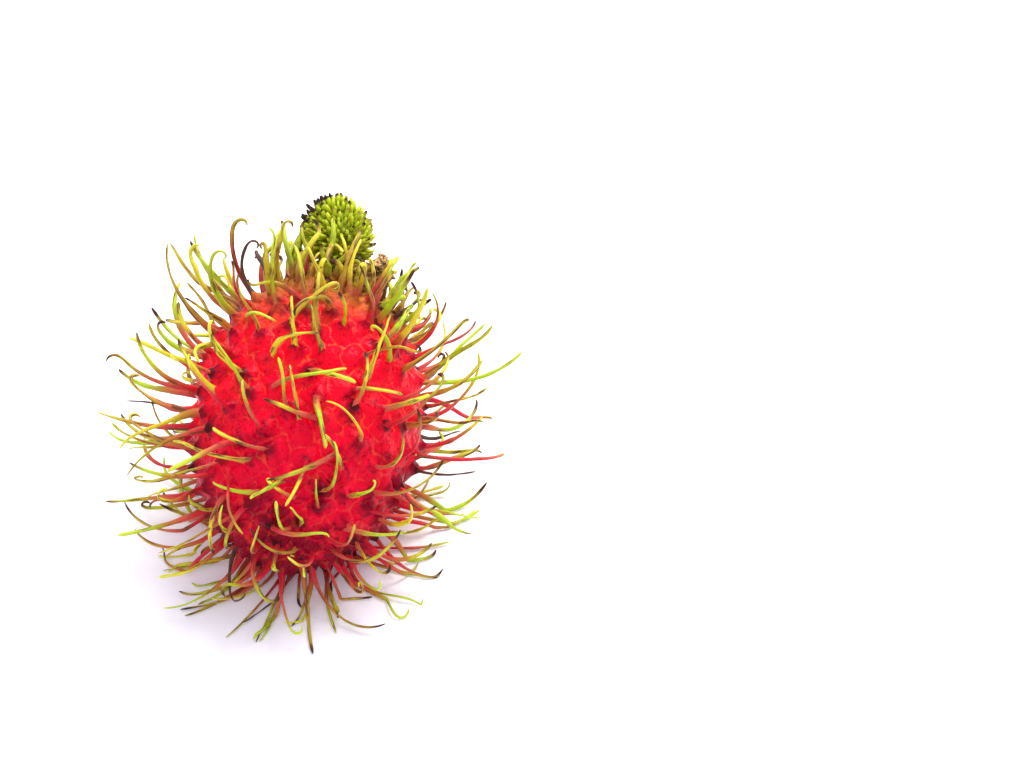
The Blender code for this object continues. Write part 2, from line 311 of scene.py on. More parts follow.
def bears_spintern(direction):
    """Whether a cell bears a spintern: not where the fruit rests, and not beside the stub."""
    point, _ = RIND.surface(direction)
    under_fruit = point.z < BALD_SPOT_RADIUS and point.xy.length < BALD_SPOT_RADIUS
    return not under_fruit and (point - STALK_ROOT).length > BALD_CAP_RADIUS


def half_width(share, radius):
    """A spintern's radius along its length: flared at its root, slim, and rounded off at its tip."""
    flare = ROOT_FLARE * math.exp(-share / ROOT_FLARE_SHARE)
    blunt = min(1.0, BLUNT_TIP + (1 - share) * GROWTH_STEPS / 2)
    return radius * (flare + 1 - TAPER * share) * blunt


def lies_over(normal):
    """How far a spintern lies over along the rind, from 0 to 1, by the side of the rind it is on."""
    return max(0.0, normal.dot(Vector(LAID_OVER_SIDE))) ** 2


def grown_spintern(index, direction):
    """The line of a spintern from root to tip, as (point, radius) at every growth step."""
    nature = random.Random(SEED * 1000 + index)
    root, normal = RIND.surface(direction)
    nearness = (direction.z + 1) / 2
    radius = SPINTERN_RADIUS_AT_TIP_END
    radius += (SPINTERN_RADIUS_AT_STALK_END - SPINTERN_RADIUS_AT_TIP_END) * nearness
    radius *= nature.uniform(*RADIUS_SPREAD)
    step = SPINTERN_LENGTH * nature.uniform(*LENGTH_SPREAD) / GROWTH_STEPS
    step *= STUNTED_SHARE if nature.random() < STUNTED_CHANCE else 1.0
    step *= 1 - THICKET_SHORTENING if index >= SPINTERN_CELLS else 1.0
    step *= 1 - CROWN_SHORTENING * max(0.0, 1 - (root - STALK_ROOT).length / CROWN_RADIUS)
    stalkward = (STALKWARD - normal * STALKWARD.dot(normal)).normalized()
    sideways = normal.cross(stalkward)
    laid_over = lies_over(normal)
    step *= 1 - LAID_OVER_SHORTENING * laid_over
    drift = noise.noise(root / BEND_PATCH) * BEND_TURN + nature.gauss(0, BEND_SCATTER)
    drift *= 1 + LAID_OVER_SCATTER * laid_over
    towards = math.cos(drift) * stalkward + math.sin(drift) * sideways
    lean = towards * (LAID_OVER_LEAN * laid_over - nature.uniform(*LEAN_BACK))
    lean += sideways * nature.gauss(0, LEAN_ASIDE)
    bend = nature.uniform(*BEND) * (1 + LAID_OVER_BEND * laid_over)
    hook = nature.uniform(*HOOK) if nature.random() < HOOK_CHANCE else 0.0
    hook *= nature.choice((1, 1, -1))
    sway = nature.uniform(-SWAY, SWAY)
    phase = nature.uniform(0, 2 * math.pi)
    kink = Matrix.Rotation(nature.gauss(0, KINK), 3, Vector(nature.gauss(0, 1) for _ in "xyz"))
    kink_step = nature.randint(GROWTH_STEPS // 3, GROWTH_STEPS) if nature.random() < KINK_CHANCE else 0
    heading = (normal + lean).normalized()
    turning = normal.cross(towards).normalized()
    point = root
    line = [(above_floor(root - heading * ROOT_DEPTH, half_width(0, radius)), half_width(0, radius))]
    for count in range(1, GROWTH_STEPS + 1):
        share = count / GROWTH_STEPS
        curl = bend * (0.5 + share)
        curl += hook * 2 * max(0.0, share + HOOK_SHARE - 1) / HOOK_SHARE**2
        aside = sway * math.cos(phase + SWAY_WAVES * share) * SWAY_WAVES
        heading = Matrix.Rotation(curl / GROWTH_STEPS, 3, turning) @ heading
        heading = Matrix.Rotation(aside / GROWTH_STEPS, 3, towards) @ heading
        heading = kink @ heading if count == kink_step else heading
        here = half_width(share, radius)
        moved = clear_of_all(point + heading * step, here, share)
        heading = (moved - point).normalized()
        point = clear_of_all(point + heading * step, here, share)
        line.append((point, here))
    return line


# ---------- Settings ----------


def length_setting(name, description, default):
    """A size in metres."""
    return FloatProperty(name=name, description=description, default=default, min=0, unit="LENGTH")


def share_setting(name, description, default):
    """A number from 0 to 1."""
    return FloatProperty(name=name, description=description, default=default, min=0, max=1, subtype="FACTOR")


def angle_setting(name, description, default):
    """An angle in radians, from the degrees given."""
    radians = math.radians(default)
    return FloatProperty(name=name, description=description, default=radians, subtype="ANGLE")


def number_setting(name, description, default, **options):
    """Any other number."""
    return FloatProperty(name=name, description=description, default=default, **options)


def count_setting(name, description, default, least, most):
    """A whole number."""
    return IntProperty(name=name, description=description, default=default, min=least, max=most)


def colour_setting(name, description, default):
    """A linear colour."""
    return FloatVectorProperty(
        name=name, description=description, default=default, size=3, min=0, max=1, subtype="COLOR"
    )


class RindSettings(bpy.types.PropertyGroup):
    """The surface of the rind."""

    faces_per_side: count_setting("Faces per side", "Rows of faces on each sixth of the rind", 124, 8, 127)
    flare_height: length_setting("Flare height", "How far the rind rises to a spintern's root", 2.3 * MM)
    flare_radius: length_setting("Flare radius", "How wide the rise at a root is", 1.05 * MM)
    dome_height: length_setting("Dome height", "How far a cell swells between its seams", 0.26 * MM)
    seam_width: length_setting("Seam width", "Half the width of the pale lines between cells", 0.17 * MM)
    seam_wander: length_setting("Seam wander", "How far the lines between cells stray", 0.9 * MM)
    lump_height: length_setting("Lump height", "Height of the uneven lumps of the rind", 0.16 * MM)
    bright: colour_setting("Bright red", "Colour of the fresh upper rind", (0.90, 0.001, 0.019))
    ruby: colour_setting("Ruby red", "Colour of the fresh rind towards its tip end", (0.78, 0.0006, 0.029))
    deep: colour_setting("Crimson", "Colour of the darker rind", (0.24, 0.0002, 0.014))
    seam: colour_setting("Seam orange", "Colour of the seams and of the ripening patches", (0.92, 0.13, 0.02))
    # The shoulder colour is the rind's own tan beside the stub, darkened as painted shade of the crowded
    # spinterns there.
    shoulder_tan_and_shade: colour_setting("Shoulder tan", "Colour of the rind beside the stub", (0.34, 0.12, 0.025))
    foot: colour_setting("Foot", "Colour of the rind at the roots near the stub", (0.52, 0.22, 0.025))
    spot: colour_setting("Spot", "Colour of the dark spots at some roots", (0.030, 0.004, 0.006))


class SpinternSettings(bpy.types.PropertyGroup):
    """The spinterns' shape and colours."""

    sides: count_setting("Sides", "Faces around a spintern", 6, 3, 16)
    smoothness: count_setting("Smoothness", "Rings for each growth step", 2, 1, 4)
    flatness: share_setting("Flatness", "A spintern's thickness as a share of its width", 0.62)
    twist: angle_setting("Twist", "Furthest turn of a flat spintern", 150)
    knobbliness: share_setting("Knobbliness", "How far a spintern's width strays along it", 0.14)
    root: colour_setting("Root red", "Colour at the root", (0.62, 0.004, 0.030))
    shin: colour_setting("Salmon", "Colour just above the root", (0.62, 0.10, 0.06))
    knee: colour_setting("Olive", "Colour where red turns to green", (0.48, 0.21, 0.03))
    green: colour_setting("Green", "Colour of the outer half", (0.38, 0.56, 0.008))
    yellow: colour_setting("Yellow", "Colour of the outer half of ripe spinterns", (0.74, 0.62, 0.025))
    tip: colour_setting("Lime", "Colour near the tip", (0.72, 0.82, 0.08))
    streak: colour_setting("Streak", "Colour of the fine brown streaks", (0.22, 0.09, 0.02))
    # This colour paints real brown stains and also painted shade on the spinterns in the crown.
    stain_and_shade: colour_setting("Stain", "Colour of the brown stains", (0.13, 0.045, 0.015))
    dried: colour_setting("Dried brown", "Colour of a dried tip", (0.065, 0.025, 0.012))
    dry_tips: share_setting("Dry tips", "Share of the spinterns whose tips have dried", 0.40)
    dried_through: share_setting("Dried through", "Share of the spinterns that have dried altogether", 0.04)


class FruitletSettings(bpy.types.PropertyGroup):
    """The undeveloped fruitlet."""

    spacing: length_setting("Spacing", "Least distance between papillae", 0.68 * MM)
    papilla_length: length_setting("Papilla length", "Length of a papilla", 1.35 * MM)
    papilla_radius: length_setting("Papilla radius", "Radius of a papilla at its root", 0.27 * MM)
    skin: colour_setting("Skin", "Colour between the papillae", (0.22, 0.27, 0.006))
    papilla: colour_setting("Papilla green", "Colour of a papilla", (0.48, 0.58, 0.010))
    tip: colour_setting("Papilla tip", "Colour of a papilla's tip", (0.72, 0.76, 0.05))
    withered: colour_setting("Withered", "Colour of the tips that have begun to dry", (0.25, 0.10, 0.02))
    dried: colour_setting("Dried", "Colour of the dried papillae at the end", (0.035, 0.016, 0.010))


class StubSettings(bpy.types.PropertyGroup):
    """The woody stub of the stalk."""

    grain: length_setting("Grain", "Size of the mesh's faces", 0.16 * MM)
    scale_size: length_setting("Scale size", "Size of the bark's ridges", 1.7 * MM)
    scale_height: length_setting("Scale height", "Height of the bark's ridges", 0.42 * MM)
    lump_height: length_setting("Lump height", "Height of the stub's lumps", 0.5 * MM)
    crumb_height: length_setting("Crumb height", "Height of the bark's small crumbs", 0.14 * MM)
    bark: colour_setting("Bark", "Colour of the bark", (0.12, 0.055, 0.014))
    cork: colour_setting("Cork", "Colour of the bark's worn edges", (0.28, 0.155, 0.045))
    fleck: colour_setting("Fleck", "Colour of the bark's pale flecks", (0.52, 0.33, 0.10))
    wood: colour_setting("Wood", "Colour of the broken face", (0.82, 0.52, 0.23))


class StageSettings(bpy.types.PropertyGroup):
    """The floor, the light and the camera."""

    elevation: angle_setting("Elevation", "Camera above the horizon", 40)
    distance: length_setting("Distance", "Camera to the middle of the rind", 0.35)
    lens: number_setting("Lens", "Focal length", 80.0, min=1, unit="CAMERA")
    across: number_setting("Across", "The rind's place across the frame, in frame widths", -0.1997)
    down: number_setting("Down", "The rind's place down the frame, in frame widths", 0.0371)
    floor: colour_setting("Floor", "Colour of the floor", (0.955, 0.94, 0.985))
    # The floor's glow is painted light that lifts its shadows.
    glow: number_setting("Glow", "Brightness of the floor by itself", 0.08, min=0)
    sky: number_setting("Sky", "Brightness of the surroundings", 0.92, min=0)
    sky_tint: colour_setting("Sky tint", "Colour of the surroundings", (0.88, 0.89, 1.0))
    key: number_setting("Key", "Power of the main lamp", 4.0, min=0, subtype="POWER")
    key_tint: colour_setting("Key tint", "Colour of the main lamp", (1.0, 0.975, 0.92))
    fill: number_setting("Fill", "Power of the front lamp", 0.7, min=0, subtype="POWER")
    fill_tint: colour_setting("Fill tint", "Colour of the front lamp", (0.86, 0.88, 1.0))


class RambutanSettings(bpy.types.PropertyGroup):
    """All the settings of the rambutan."""

    rind: PointerProperty(type=RindSettings)
    spinterns: PointerProperty(type=SpinternSettings)
    fruitlet: PointerProperty(type=FruitletSettings)
    stub: PointerProperty(type=StubSettings)
    stage: PointerProperty(type=StageSettings)


# ---------- Nodes ----------


class Nodes:
    """Adds nodes to a tree and joins them."""

    def __init__(self, tree):
        self.tree = tree
        self.tree.nodes.clear()

    def give(self, socket, value):
        """Joins an input to another socket, or sets it to a value."""
        if isinstance(value, bpy.types.NodeSocket):
            self.tree.links.new(value, socket)
        else:
            socket.default_value = opaque(value) if socket.type == "RGBA" else value

    def add(self, kind, inputs=None, **options):
        """A node with its options and then its inputs set."""
        made = self.tree.nodes.new(kind)
        for name, value in options.items():
            setattr(made, name, value)
        for name, value in (inputs or {}).items():
            self.give(made.inputs[name], value)
        return made

    def group(self, tree, inputs):
        """A node group placed with its own values."""
        return self.add(self.tree.bl_idname.replace("Tree", "Group"), inputs, node_tree=tree)

    def maths(self, operation, *values):
        """The result of a sum on numbers."""
        return self.add("ShaderNodeMath", dict(enumerate(values)), operation=operation).outputs[0]

    def times(self, first, second):
        """A product of two numbers."""
        return self.maths("MULTIPLY", first, second)

    def total(self, start, *parts):
        """The start plus each part, which is a value and its weight."""
        for value, weight in parts:
            start = self.maths("MULTIPLY_ADD", value, weight, start)
        return start

    def vector(self, operation, first, second):
        """The node that does a sum on two vectors."""
        return self.add("ShaderNodeVectorMath", {0: first, 1: second}, operation=operation)

    def fade(self, value, start, end):
        """0 where the value is at the start, 1 at the end, and smooth in between."""
        inputs = {"Value": value, "From Min": start, "From Max": end}
        return self.add("ShaderNodeMapRange", inputs, interpolation_type="SMOOTHSTEP").outputs["Result"]

    def over(self, colour, tint, mask, strength=1.0):
        """The colour with a tint laid over it, as far as the mask and the strength say."""
        factor = mask if strength == 1.0 else self.times(mask, strength)
        inputs = {0: factor, 6: colour, 7: tint}
        return self.add("ShaderNodeMix", inputs, data_type="RGBA", clamp_factor=True).outputs[2]

    def layers(self, colour, *layers):
        """The colour with several layers over it, each a tint, its mask and at will its strength."""
        for layer in layers:
            colour = self.over(colour, *layer)
        return colour

    def attribute(self, name):
        """A number stored on the mesh."""
        return self.add("ShaderNodeAttribute", attribute_name=name).outputs["Fac"]

    def place(self):
        """Where a point is on the object."""
        return self.add("ShaderNodeTexCoord").outputs["Object"]

    def distance(self, spot):
        """How far a point of the object is from a spot."""
        return self.vector("DISTANCE", self.place(), spot).outputs["Value"]

    def noise(self, size, detail=3.0, roughness=0.55):
        """Cloudy noise over the object, with features about that size."""
        scale = 1 / size if isinstance(size, float) else self.maths("DIVIDE", 1.0, size)
        inputs = {"Vector": self.place(), "Scale": scale, "Detail": detail, "Roughness": roughness}
        return self.add("ShaderNodeTexNoise", inputs).outputs["Fac"]


def opaque(colour):
    """A colour with its alpha."""
    return (*colour, 1.0)


def new_group(name, kind, inputs, outputs):
    """(tree, nodes, input sockets, output node) of a node group with named sockets.

    Each input is its label, the kind of its socket and its default or None, each output its label and kind.
    """
    tree = bpy.data.node_groups.new(name, kind)
    nodes = Nodes(tree)
    for label, socket_kind, default in inputs:
        socket = tree.interface.new_socket(label, in_out="INPUT", socket_type="NodeSocket" + socket_kind)
        if default is not None:
            socket.default_value = default
    for label, socket_kind in outputs:
        tree.interface.new_socket(label, in_out="OUTPUT", socket_type="NodeSocket" + socket_kind)
    return tree, nodes, nodes.add("NodeGroupInput").outputs, nodes.add("NodeGroupOutput")


def mottle_group():
    """A shader group that lays blotches of a second colour on a first, and gives their mask."""
    name = "mottle"
    if name in bpy.data.node_groups:
        return bpy.data.node_groups[name]
    inputs = (
        ("Colour", "Color", None),
        ("Blotch", "Color", None),
        ("Size", "Float", 1.0 * MM),
        ("Threshold", "Float", 0.6),
        ("Strength", "Float", 0.7),
    )
    outputs = (("Colour", "Color"), ("Mask", "Float"))
    tree, nodes, given, result = new_group(name, "ShaderNodeTree", inputs, outputs)
    cloud = nodes.noise(given["Size"], roughness=0.5)
    soft_edge = nodes.maths("ADD", given["Threshold"], BLOTCH_EDGE)
    mask = nodes.times(nodes.fade(cloud, given["Threshold"], soft_edge), given["Strength"])
    nodes.give(result.inputs["Colour"], nodes.over(given["Colour"], given["Blotch"], mask))
    nodes.give(result.inputs["Mask"], mask)
    return tree


def mottled(nodes, colour, blotch, size, threshold, strength):
    """(colour, mask) of a mottle group placed with those values."""
    labels = ("Colour", "Blotch", "Size", "Threshold", "Strength")
    values = (colour, blotch, size, threshold, strength)
    placed = nodes.group(mottle_group(), dict(zip(labels, values)))
    return placed.outputs["Colour"], placed.outputs["Mask"]


def grain_group():
    """A shader group that gives a height made of coarse and fine noise, for a bump."""
    name = "grain"
    if name in bpy.data.node_groups:
        return bpy.data.node_groups[name]
    inputs = [(label, "Float", default) for label, default in GRAIN_INPUTS]
    tree, nodes, given, result = new_group(name, "ShaderNodeTree", inputs, (("Height", "Float"),))
    coarse, fine = (nodes.noise(given[label], 2.0, 0.5) for label in ("Coarse size", "Fine size"))
    nodes.give(result.inputs["Height"], nodes.total(coarse, (fine, given["Fine share"])))
    return tree


def grain(nodes, coarse, fine, fine_share=0.3):
    """The height of a grain group placed with those values."""
    inputs = {"Coarse size": coarse, "Fine size": fine, "Fine share": fine_share}
    return nodes.group(grain_group(), inputs).outputs["Height"]


def new_material(name):
    """(material, nodes) of an empty material."""
    material = bpy.data.materials.new(name)
    material.use_nodes = True
    return material, Nodes(material.node_tree)


def shaded(nodes, colour, roughness, height, bump_depth, **constants):
    """Ends a material: its Principled shader, with a bump and with the given constant inputs."""
    bump = nodes.add("ShaderNodeBump", {"Height": height, "Strength": 1.0, "Distance": bump_depth})
    inputs = {"Base Color": colour, "Roughness": roughness, "Normal": bump.outputs["Normal"]}
    inputs.update({name.replace("_", " "): value for name, value in constants.items()})
    shader = nodes.add("ShaderNodeBsdfPrincipled", inputs)
    nodes.add("ShaderNodeOutputMaterial", {"Surface": shader.outputs["BSDF"]})


# ---------- Making pieces ----------


def linked(name, mesh):
    """A new object in the scene."""
    made = bpy.data.objects.new(name, mesh)
    bpy.context.scene.collection.objects.link(made)
    return made


def stored(mesh, name, values):
    """Keeps one number for each vertex on the mesh."""
    mesh.attributes.new(name, "FLOAT", "POINT").data.foreach_set("value", list(values))


def closed(name, bm, values):
    """The mesh of a finished bmesh: faces outward, smooth, with the given numbers stored."""
    bmesh.ops.recalc_face_normals(bm, faces=bm.faces[:])
    mesh = bpy.data.meshes.new(name)
    bm.to_mesh(mesh)
    bm.free()
    for label, numbers in values.items():
        stored(mesh, label, numbers)
    mesh.shade_smooth()
    return mesh


def frozen(piece):
    """The piece with its modifiers made part of its mesh."""
    graph = bpy.context.evaluated_depsgraph_get()
    mesh = bpy.data.meshes.new_from_object(piece.evaluated_get(graph))
    mesh.name = piece.name
    piece.modifiers.clear()
    piece.data = mesh
    return piece


def grown_by(piece, tree, values):
    """Adds a geometry node tree to the piece, sets its named inputs and freezes the result."""
    modifier = piece.modifiers.new(tree.name, "NODES")
    modifier.node_group = tree
    for item in tree.interface.items_tree:
        if item.item_type == "SOCKET" and item.in_out == "INPUT" and item.name in values:
            modifier[item.identifier] = values[item.name]
    return frozen(piece)


def on_fruit(piece, slot, *nodes):
    """The finished piece rides on the fruit and stands for the given solids."""
    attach(piece, "root")
    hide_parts(*nodes)


def marked(nodes, geometry, name, value, domain="POINT"):
    """The geometry with a number stored on it."""
    inputs = {"Geometry": geometry, "Name": name, "Value": value}
    made = nodes.add("GeometryNodeStoreNamedAttribute", inputs, data_type="FLOAT", domain=domain)
    return made.outputs["Geometry"]


def swept(nodes, line, profile, scale):
    """A closed tube of that profile along the line."""
    inputs = {"Curve": line, "Profile Curve": profile, "Scale": scale, "Fill Caps": True}
    return nodes.add("GeometryNodeCurveToMesh", inputs).outputs["Mesh"]


def end_tree(nodes, geometry, material, result):
    """Ends a tree with its geometry made smooth, real and of that material."""
    for kind, extra in (
        ("GeometryNodeSetShadeSmooth", {}),
        ("GeometryNodeRealizeInstances", {}),
        ("GeometryNodeSetMaterial", {"Material": material}),
    ):
        geometry = nodes.add(kind, {"Geometry": geometry, **extra}).outputs["Geometry"]
    nodes.give(result.inputs["Geometry"], geometry)


# ---------- Rind ----------


def root_places():
    """(point, direction of growth, whether it bears a spintern, tone) of each cell of the rind."""
    tones = random.Random(SEED + 1)
    for index, direction in cells():
        point, heading = RIND.surface(direction)
        bears = bears_spintern(direction)
        if bears:
            line = grown_spintern(index, direction)
            heading = (line[HEADING_STEP][0] - line[0][0]).normalized()
        yield point, heading, bears, tones.random()


def eased(value, end):
    """0 at 0, 1 from the end on, and smooth in between."""
    share = min(1.0, max(0.0, value / end))
    return share * share * (3 - 2 * share)


def rind_mesh(settings):
    """The rind: cells that swell between their seams and rise to the roots of the spinterns."""
    bm = bmesh.new()
    bmesh.ops.create_cube(bm, size=2.0)
    bmesh.ops.subdivide_edges(bm, edges=bm.edges[:], cuts=settings.faces_per_side - 1, use_grid_fill=True)
    places = list(root_places())
    tree = kdtree.KDTree(len(places))
    for number, place in enumerate(places):
        tree.insert(place[0], number)
    tree.balance()
    noise.seed_set(SEED)  # noise_vector would otherwise differ from run to run
    values = {"root_distance": [], "seam_distance": [], "spotted": [], "tone": [], "stalkness": []}
    for vertex in bm.verts:
        direction = Vector(math.tan(c * math.pi / 4) for c in vertex.co).normalized()
        point, normal = RIND.surface(direction)
        stray = noise.noise_vector(point / SEAM_WANDER_SIZE) * settings.seam_wander
        (_, cell, near), (_, _, next_near) = tree.find_n(point + stray, 2)
        seam = next_near - near
        _, root, distance = tree.find(point)
        _, heading, bears, root_tone = places[root]
        flare = math.exp(-((distance / settings.flare_radius) ** FLARE_FALL))
        rise = settings.flare_height * flare if bears else 0.0
        swell = settings.dome_height * eased(seam, DOME_EDGE)
        lumps = noise.fractal(point / RIND_LUMP_SIZE, 0.8, 2.0, 3) * settings.lump_height
        pit = PIT_DEPTH * math.exp(-(((point - STALK_ROOT).length / PIT_RADIUS) ** 4))
        place = point + normal * (swell + lumps - pit) + heading * rise
        place.z = max(place.z, 0.0)
        vertex.co = place
        spotted = eased(SPOTTED_SHARE - root_tone, SPOTTED_EDGE)
        traits = (distance, seam, spotted, places[cell][3], (direction.z + 1) / 2)
        for numbers, number in zip(values.values(), traits):
            numbers.append(number)
    return closed("rind", bm, values)


def rind_material(settings):
    """Waxy red rind with orange seams, ripening patches and dark spots at some roots, and with painted shade:
    darker low down and towards the crown round the stub.
    """
    material, nodes = new_material("rind")
    cloud = nodes.noise(6.0 * MM)
    fine_cloud = nodes.noise(0.9 * MM, 4.0)
    stalkness = nodes.attribute("stalkness")
    from_root = nodes.attribute("root_distance")
    level = nodes.add("ShaderNodeSeparateXYZ", {"Vector": nodes.place()}).outputs["Z"]
    # Painted shade: the height term makes the rind darker lower down and the stalkness term darker towards
    # the crown; the other terms are the rind's own tone.
    shade = nodes.total(
        0.0,
        (cloud, 0.8),
        (fine_cloud, 0.75),
        (nodes.fade(stalkness, 0.92, 0.62), 0.16),
        (nodes.fade(level, 2.0 * MM, 26.0 * MM), 0.28),
        (nodes.attribute("tone"), 0.12),
        (nodes.fade(from_root, 0.5 * MM, 2.1 * MM), 0.20),
    )
    fresh = nodes.over(settings.bright, settings.ruby, nodes.fade(stalkness, 0.62, 0.12))
    colour = nodes.over(settings.deep, fresh, nodes.fade(shade, 1.11, 1.485))

    patch = nodes.total(nodes.noise(9.0 * MM, 2.0), (stalkness, 0.40))
    ripening = nodes.times(nodes.fade(patch, 0.78, 1.02), nodes.fade(fine_cloud, 0.2, 0.7))
    seam = nodes.fade(nodes.attribute("seam_distance"), settings.seam_width * 2, 0.0)
    seam = nodes.times(seam, nodes.fade(nodes.noise(2.2 * MM, 2.0), 0.34, 0.54))
    seam = nodes.times(seam, nodes.total(0.22, (stalkness, 0.58)))
    orange = nodes.maths("MAXIMUM", seam, nodes.times(ripening, 0.7))

    from_stub = nodes.total(nodes.distance(STALK_ROOT), (fine_cloud, 2.5 * MM))
    # The crown round the stub, where the roots have tan feet and the rind gets painted shade.
    crown = nodes.fade(nodes.total(stalkness, (cloud, 0.3)), 0.92, 1.12)
    spot_edge = nodes.times(fine_cloud, 2.1 * MM)
    spot = nodes.fade(from_root, spot_edge, nodes.times(spot_edge, 0.6))
    colour = nodes.layers(
        colour,
        (settings.seam, orange),
        # The tan shoulder near the stub and over the crown: partly the rind's own colour, partly painted
        # shade of the crowded spinterns.
        (settings.shoulder_tan_and_shade, nodes.fade(from_stub, 11.0 * MM, 6.0 * MM)),
        (settings.foot, nodes.times(nodes.fade(from_root, 2.0 * MM, 0.6 * MM), crown)),
        (settings.shoulder_tan_and_shade, crown, 0.62),
        (settings.spot, nodes.times(spot, nodes.attribute("spotted")), 0.9),
    )
    colour, _ = mottled(nodes, colour, settings.deep, size=0.6 * MM, threshold=0.61, strength=0.6)
    shaded(
        nodes,
        colour,
        nodes.total(0.20, (fine_cloud, 0.18)),
        grain(nodes, 0.9 * MM, 0.25 * MM),
        0.26 * MM,
        Subsurface_Weight=0.06,
        Subsurface_Scale=0.4 * MM,
        Subsurface_Radius=(1.0, 0.1, 0.08),
        Specular_IOR_Level=0.09,
    )
    return material


class RAMBUTAN_OT_rind(bpy.types.Operator):
    """Builds the rind"""

    bl_idname = "rambutan.rind"
    bl_label = "Rind"
    bl_options = {"REGISTER", "UNDO"}

    def execute(self, context):
        settings = context.scene.rambutan.rind
        rind = linked("rind", rind_mesh(settings))
        rind.data.materials.append(rind_material(settings))
        on_fruit(rind, "rind", "fruit")
        return {"FINISHED"}


# ---------- Spinterns ----------


def sweep_tree():
    """Geometry nodes that turn lines into tubes as wide as their half_width says."""
    inputs = (
        ("Geometry", "Geometry", None),
        ("Sides", "Int", 8),
        ("Smoothness", "Int", 2),
        ("Flatness", "Float", 1.0),
        ("Material", "Material", None),
    )
    outputs = (("Geometry", "Geometry"),)
    tree, nodes, given, result = new_group("sweep", "GeometryNodeTree", inputs, outputs)
    line = nodes.add("GeometryNodeMeshToCurve", {"Mesh": given["Geometry"]}).outputs["Curve"]
    rounded = nodes.add("GeometryNodeCurveSplineType", {"Curve": line}, spline_type="CATMULL_ROM")
    inputs = {"Geometry": rounded.outputs["Curve"], "Resolution": given["Smoothness"]}
    fine = nodes.add("GeometryNodeSetSplineResolution", inputs)
    width = nodes.add("GeometryNodeInputNamedAttribute", {"Name": "half_width"}, data_type="FLOAT")
    ring = nodes.add("GeometryNodeCurvePrimitiveCircle", {"Resolution": given["Sides"], "Radius": 1.0})
    ring = ring.outputs["Curve"]
    around = nodes.add("ShaderNodeSeparateXYZ", {"Vector": nodes.add("GeometryNodeInputPosition").outputs[0]})
    for label, axis in (("side", "X"), ("face", "Y")):
        ring = marked(nodes, ring, label, around.outputs[axis])
    shape = nodes.add("ShaderNodeCombineXYZ", {"X": 1.0, "Y": given["Flatness"], "Z": 1.0})
    oval = nodes.add("GeometryNodeTransform", {"Geometry": ring, "Scale": shape.outputs["Vector"]})
    tube = swept(nodes, fine.outputs["Geometry"], oval.outputs["Geometry"], width.outputs["Attribute"])
    end_tree(nodes, tube, given["Material"], result)
    return tree


def lines_mesh(name, spinterns):
    """Lines with the spinterns' widths and traits, to be swept."""
    mesh = bpy.data.meshes.new(name)
    points, edges = [], []
    values = {}
    for line, traits in spinterns:
        first = len(points)
        points += [point for point, _ in line]
        edges += [(first + count, first + count + 1) for count in range(len(line) - 1)]
        for trait, number in traits.items():
            numbers = number if isinstance(number, list) else [number] * len(line)
            values.setdefault(trait, []).extend(numbers)
    mesh.from_pydata(points, edges, [])
    for trait, numbers in values.items():
        stored(mesh, trait, numbers)
    return mesh


def spinterns_with_traits(settings):
    """(fresh, dried through) spinterns, each as its line and its traits."""
    fresh, dried = [], []
    for index, direction in cells():
        if not bears_spintern(direction):
            continue
        nature = random.Random(SEED * 2000 + index)
        stalkness = (direction.z + 1) / 2
        laid_over = lies_over(RIND.surface(direction)[1])
        line = grown_spintern(index, direction)
        shares = [count / GROWTH_STEPS for count in range(len(line))]
        twist = nature.uniform(-settings.twist, settings.twist)
        start = nature.uniform(0, 2 * math.pi)
        withered = nature.random() < settings.dried_through
        in_crown = max(0.0, stalkness - CROWN_FROM) / (1 - CROWN_FROM)
        broad = 1 + BROADER_IN_CROWN * nature.random() * in_crown
        late = LATE_GREEN if nature.random() < LATE_CHANCE[0] + LATE_CHANCE[1] * stalkness**3 else 0.0
        green_from = GREEN_FROM - GREEN_SOONER_AT_STALK * stalkness**1.2
        green_from += late - GREEN_SOONER_LAID_OVER * laid_over
        widths = []
        for share, (_, radius) in zip(shares, line):
            stray = noise.noise(Vector((index, share * KNOBS, 0.5))) * settings.knobbliness * 2
            shrunk = 1 - SHRUNK_WHEN_DRIED * min(1.0, share * 6) if withered else 1.0
            widths.append(radius * broad * shrunk * (1 + stray * min(1.0, share * 5)))
        traits = {
            "half_width": widths,
            "tilt": [start + twist * share for share in shares],
            "share": shares,
            "tone": nature.random(),
            "age": nature.random(),
            "stalkness": stalkness,
            "green_from": green_from + nature.gauss(0, GREEN_SCATTER),
            "dry_from": nature.uniform(*DRY_FROM) if nature.random() < settings.dry_tips else NEVER_DRY,
            "dark_root": float(nature.random() < DARK_ROOT_CHANCE[0] + DARK_ROOT_CHANCE[1] * stalkness),
        }
        (dried if withered else fresh).append((line, traits))
    return fresh, dried


def lengthwise(nodes, along, across, offset):
    """Noise drawn out along each spintern, with about so many features along it and across it."""
    share = nodes.total(offset, (nodes.attribute("share"), along))
    own = nodes.times(nodes.attribute("tone"), 50.0)
    side = nodes.total(own, (nodes.attribute("side"), across))
    face = nodes.times(nodes.attribute("face"), across)
    place = nodes.add("ShaderNodeCombineXYZ", {"X": share, "Y": side, "Z": face}).outputs["Vector"]
    return nodes.add("ShaderNodeTexNoise", {"Vector": place, "Scale": 1.0, "Detail": 3.0}).outputs["Fac"]


